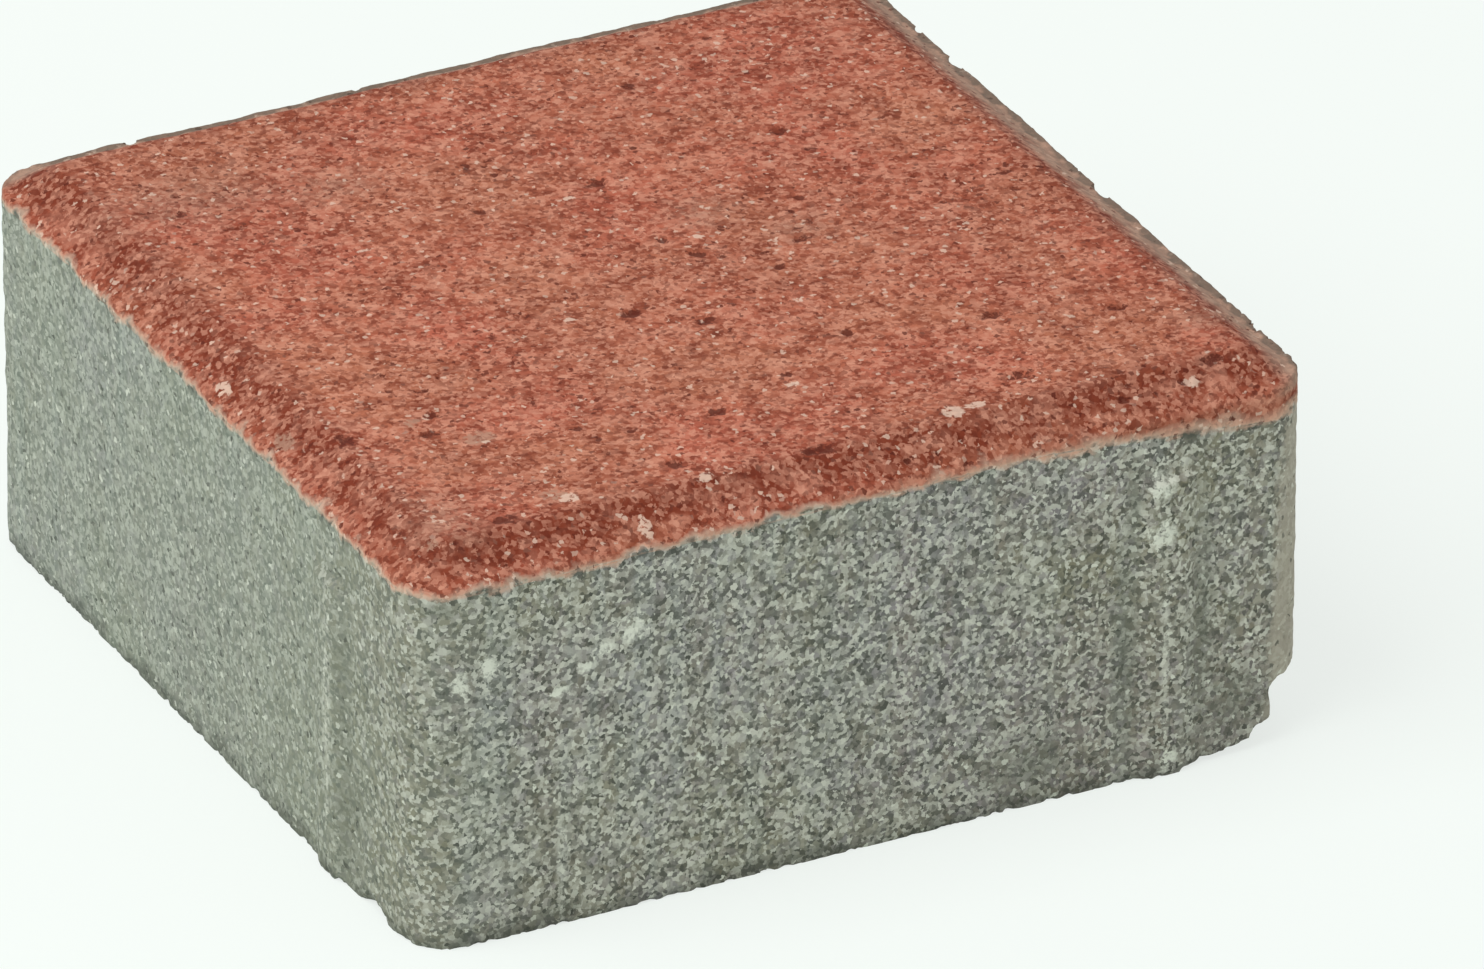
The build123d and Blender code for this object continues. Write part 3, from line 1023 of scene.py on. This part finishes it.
def concrete(name, colours):
    """Material of pressed concrete: the grey core below the seam between the fills and the red facing above.

    Both pieces share its pattern, so that the ragged seam runs on across the cut.
    """
    material = bpy.data.materials.new(name)
    material.use_nodes = True
    tree = material.node_tree
    tree.nodes.clear()
    add = partial(add_node, tree)
    place = add("ShaderNodeVectorMath", add("ShaderNodeTexCoord", give="Object"), 1 / MM, operation="SCALE")
    x, y, z = (add("ShaderNodeSeparateXYZ", place, give=axis) for axis in "XYZ")
    masks = grain_masks(add, place)
    masks.update(wear_masks(add, place, masks))
    masks.update(facing_masks(add, x, y, z, masks))
    masks.update(core_masks(add, place, x, y, z, masks))
    red = painted(add, colours.facing_red, FACING_LAYERS, masks, colours)
    grey = painted(add, colours.core_grey, CORE_LAYERS, masks, colours)
    colour = add("ShaderNodeMix", masks["facing"], grey, red, data_type="RGBA")

    bump = add("ShaderNodeBump", named={"Strength": 0.7, "Distance": 0.12 * MM, "Height": masks["tone"]})
    shader = add(
        "ShaderNodeBsdfPrincipled",
        named={"Base Color": colour, "Roughness": 0.9, "IOR": 1.5, "Specular IOR Level": 0.3, "Normal": bump},
    )
    add("ShaderNodeOutputMaterial", shader)
    return material


class PAVING_OT_core(bpy.types.Operator):
    """Models the grey backing concrete with its ribs and its broken corner"""

    bl_idname = "paving.core"
    bl_label = "Core"

    def execute(self, context):
        sizes = context.scene.stone_sizes
        core = whole_stone(sizes)
        core.name = "core_concrete"
        cut_at_seam(core, sizes, "INTERSECT")
        # Grey concrete pressed earth-moist into a mould: dull, open between its sand grains, slightly green.
        core.data.materials.clear()
        core.data.materials.append(concrete("pressed grey core concrete", context.scene.stone_colours))
        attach(core, "root")
        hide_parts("core")
        return {"FINISHED"}


class PAVING_OT_facing(bpy.types.Operator):
    """Models the red facing concrete with its worn top and chamfer"""

    bl_idname = "paving.facing"
    bl_label = "Facing"

    def execute(self, context):
        sizes = context.scene.stone_sizes
        facing = whole_stone(sizes)
        facing.name = "facing_concrete"
        cut_at_seam(facing, sizes, "DIFFERENCE")
        # Concrete coloured right through with red iron oxide, pressed and worn: matt, gritty, never glossy.
        facing.data.materials.clear()
        facing.data.materials.append(concrete("iron oxide red facing concrete", context.scene.stone_colours))
        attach(facing, "root")
        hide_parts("facing")
        return {"FINISHED"}


class PAVING_OT_stage(bpy.types.Operator):
    """Adds the pale floor, the lamps, the world and the camera"""

    bl_idname = "paving.stage"
    bl_label = "Stage"

    def execute(self, context):
        scene = context.scene
        lights = scene.stage_lights
        deselect()
        bpy.ops.mesh.primitive_plane_add(size=FLOOR_SIZE)
        floor = context.active_object
        floor.name = "floor"
        floor.data.materials.append(self.pale_paper())
        azimuth, elevation = math.radians(CAMERA_AZIMUTH), math.radians(CAMERA_ELEVATION)
        level = math.cos(elevation)
        back = Vector((math.sin(azimuth) * level, -math.cos(azimuth) * level, math.sin(elevation)))
        right = Vector((math.cos(azimuth), math.sin(azimuth), 0))
        up = back.cross(right)
        bpy.ops.object.camera_add()
        camera = context.active_object
        behind = Vector(CAMERA_TARGET) + back * CAMERA_DISTANCE
        camera.location = behind + right * CAMERA_RIGHT - up * CAMERA_DOWN
        camera.rotation_euler = Matrix((right, up, back)).transposed().to_euler()
        camera.data.lens = CAMERA_LENS
        camera.data.sensor_width = CAMERA_SENSOR
        scene.camera = camera
        towards = Vector(LAMP_TOWARDS).normalized()
        bpy.ops.object.light_add(type="AREA", location=towards * LAMP_DISTANCE)
        key = context.active_object
        key.rotation_euler = towards.to_track_quat("Z", "Y").to_euler()
        key.data.energy = lights.key_power
        key.data.size = LAMP_SIZE
        world = bpy.data.worlds.new("studio")
        scene.world = world
        world.use_nodes = True
        tree = world.node_tree
        tree.nodes.clear()
        seen = self.seen(tree)
        strength = add_node(tree, "ShaderNodeMapRange", seen, 0.0, 1.0, lights.fill_strength, 1.0)
        background = add_node(tree, "ShaderNodeBackground", (1.0, 1.0, 1.0, 1.0), strength)
        add_node(tree, "ShaderNodeOutputWorld", background)
        scene.view_settings.view_transform = "Standard"
        return {"FINISHED"}

    def seen(self, tree):
        """1 for camera, glossy and transmission rays, and 0 for other rays."""
        share = 0.0
        for ray in ("Is Camera Ray", "Is Glossy Ray", "Is Transmission Ray"):
            part = add_node(tree, "ShaderNodeLightPath", give=ray)
            share = add_node(tree, "ShaderNodeMath", part, share, operation="MAXIMUM")
        return share

    def pale_paper(self):
        """Matt white paper: near white to the camera, with the stone's soft shadow left on it."""
        material = bpy.data.materials.new("white backdrop paper")
        material.use_nodes = True
        tree = material.node_tree
        tree.nodes.clear()
        paper = add_node(tree, "ShaderNodeBsdfDiffuse", linear("#F2FDF6"))
        glow = add_node(tree, "ShaderNodeEmission", linear("#FBFFFC"), 1.0)
        share = add_node(tree, "ShaderNodeMath", self.seen(tree), FLOOR_GLOW, operation="MULTIPLY")
        mixed = add_node(tree, "ShaderNodeMixShader", share, paper, glow)
        add_node(tree, "ShaderNodeOutputMaterial", mixed)
        return material


class PAVING_PT_panel(bpy.types.Panel):
    """Lists the pieces of the paving stone"""

    bl_label = "Paving stone"
    bl_idname = "PAVING_PT_panel"
    bl_space_type = "VIEW_3D"
    bl_region_type = "UI"
    bl_category = "Paving"

    def draw(self, context):
        for operator in (PAVING_OT_core, PAVING_OT_facing, PAVING_OT_stage):
            self.layout.operator(operator.bl_idname)


CLASSES = (
    StoneSizes,
    StoneColours,
    StageLights,
    PAVING_OT_core,
    PAVING_OT_facing,
    PAVING_OT_stage,
    PAVING_PT_panel,
)


def register():
    for each in CLASSES:
        bpy.utils.register_class(each)
    bpy.types.Scene.stone_sizes = PointerProperty(type=StoneSizes)
    bpy.types.Scene.stone_colours = PointerProperty(type=StoneColours)
    bpy.types.Scene.stage_lights = PointerProperty(type=StageLights)


def unregister():
    del bpy.types.Scene.stage_lights
    del bpy.types.Scene.stone_colours
    del bpy.types.Scene.stone_sizes
    for each in reversed(CLASSES):
        bpy.utils.unregister_class(each)


def main():
    register()
    bpy.ops.paving.core()
    bpy.ops.paving.facing()
    bpy.ops.paving.stage()


if __name__ == "__main__":
    main()
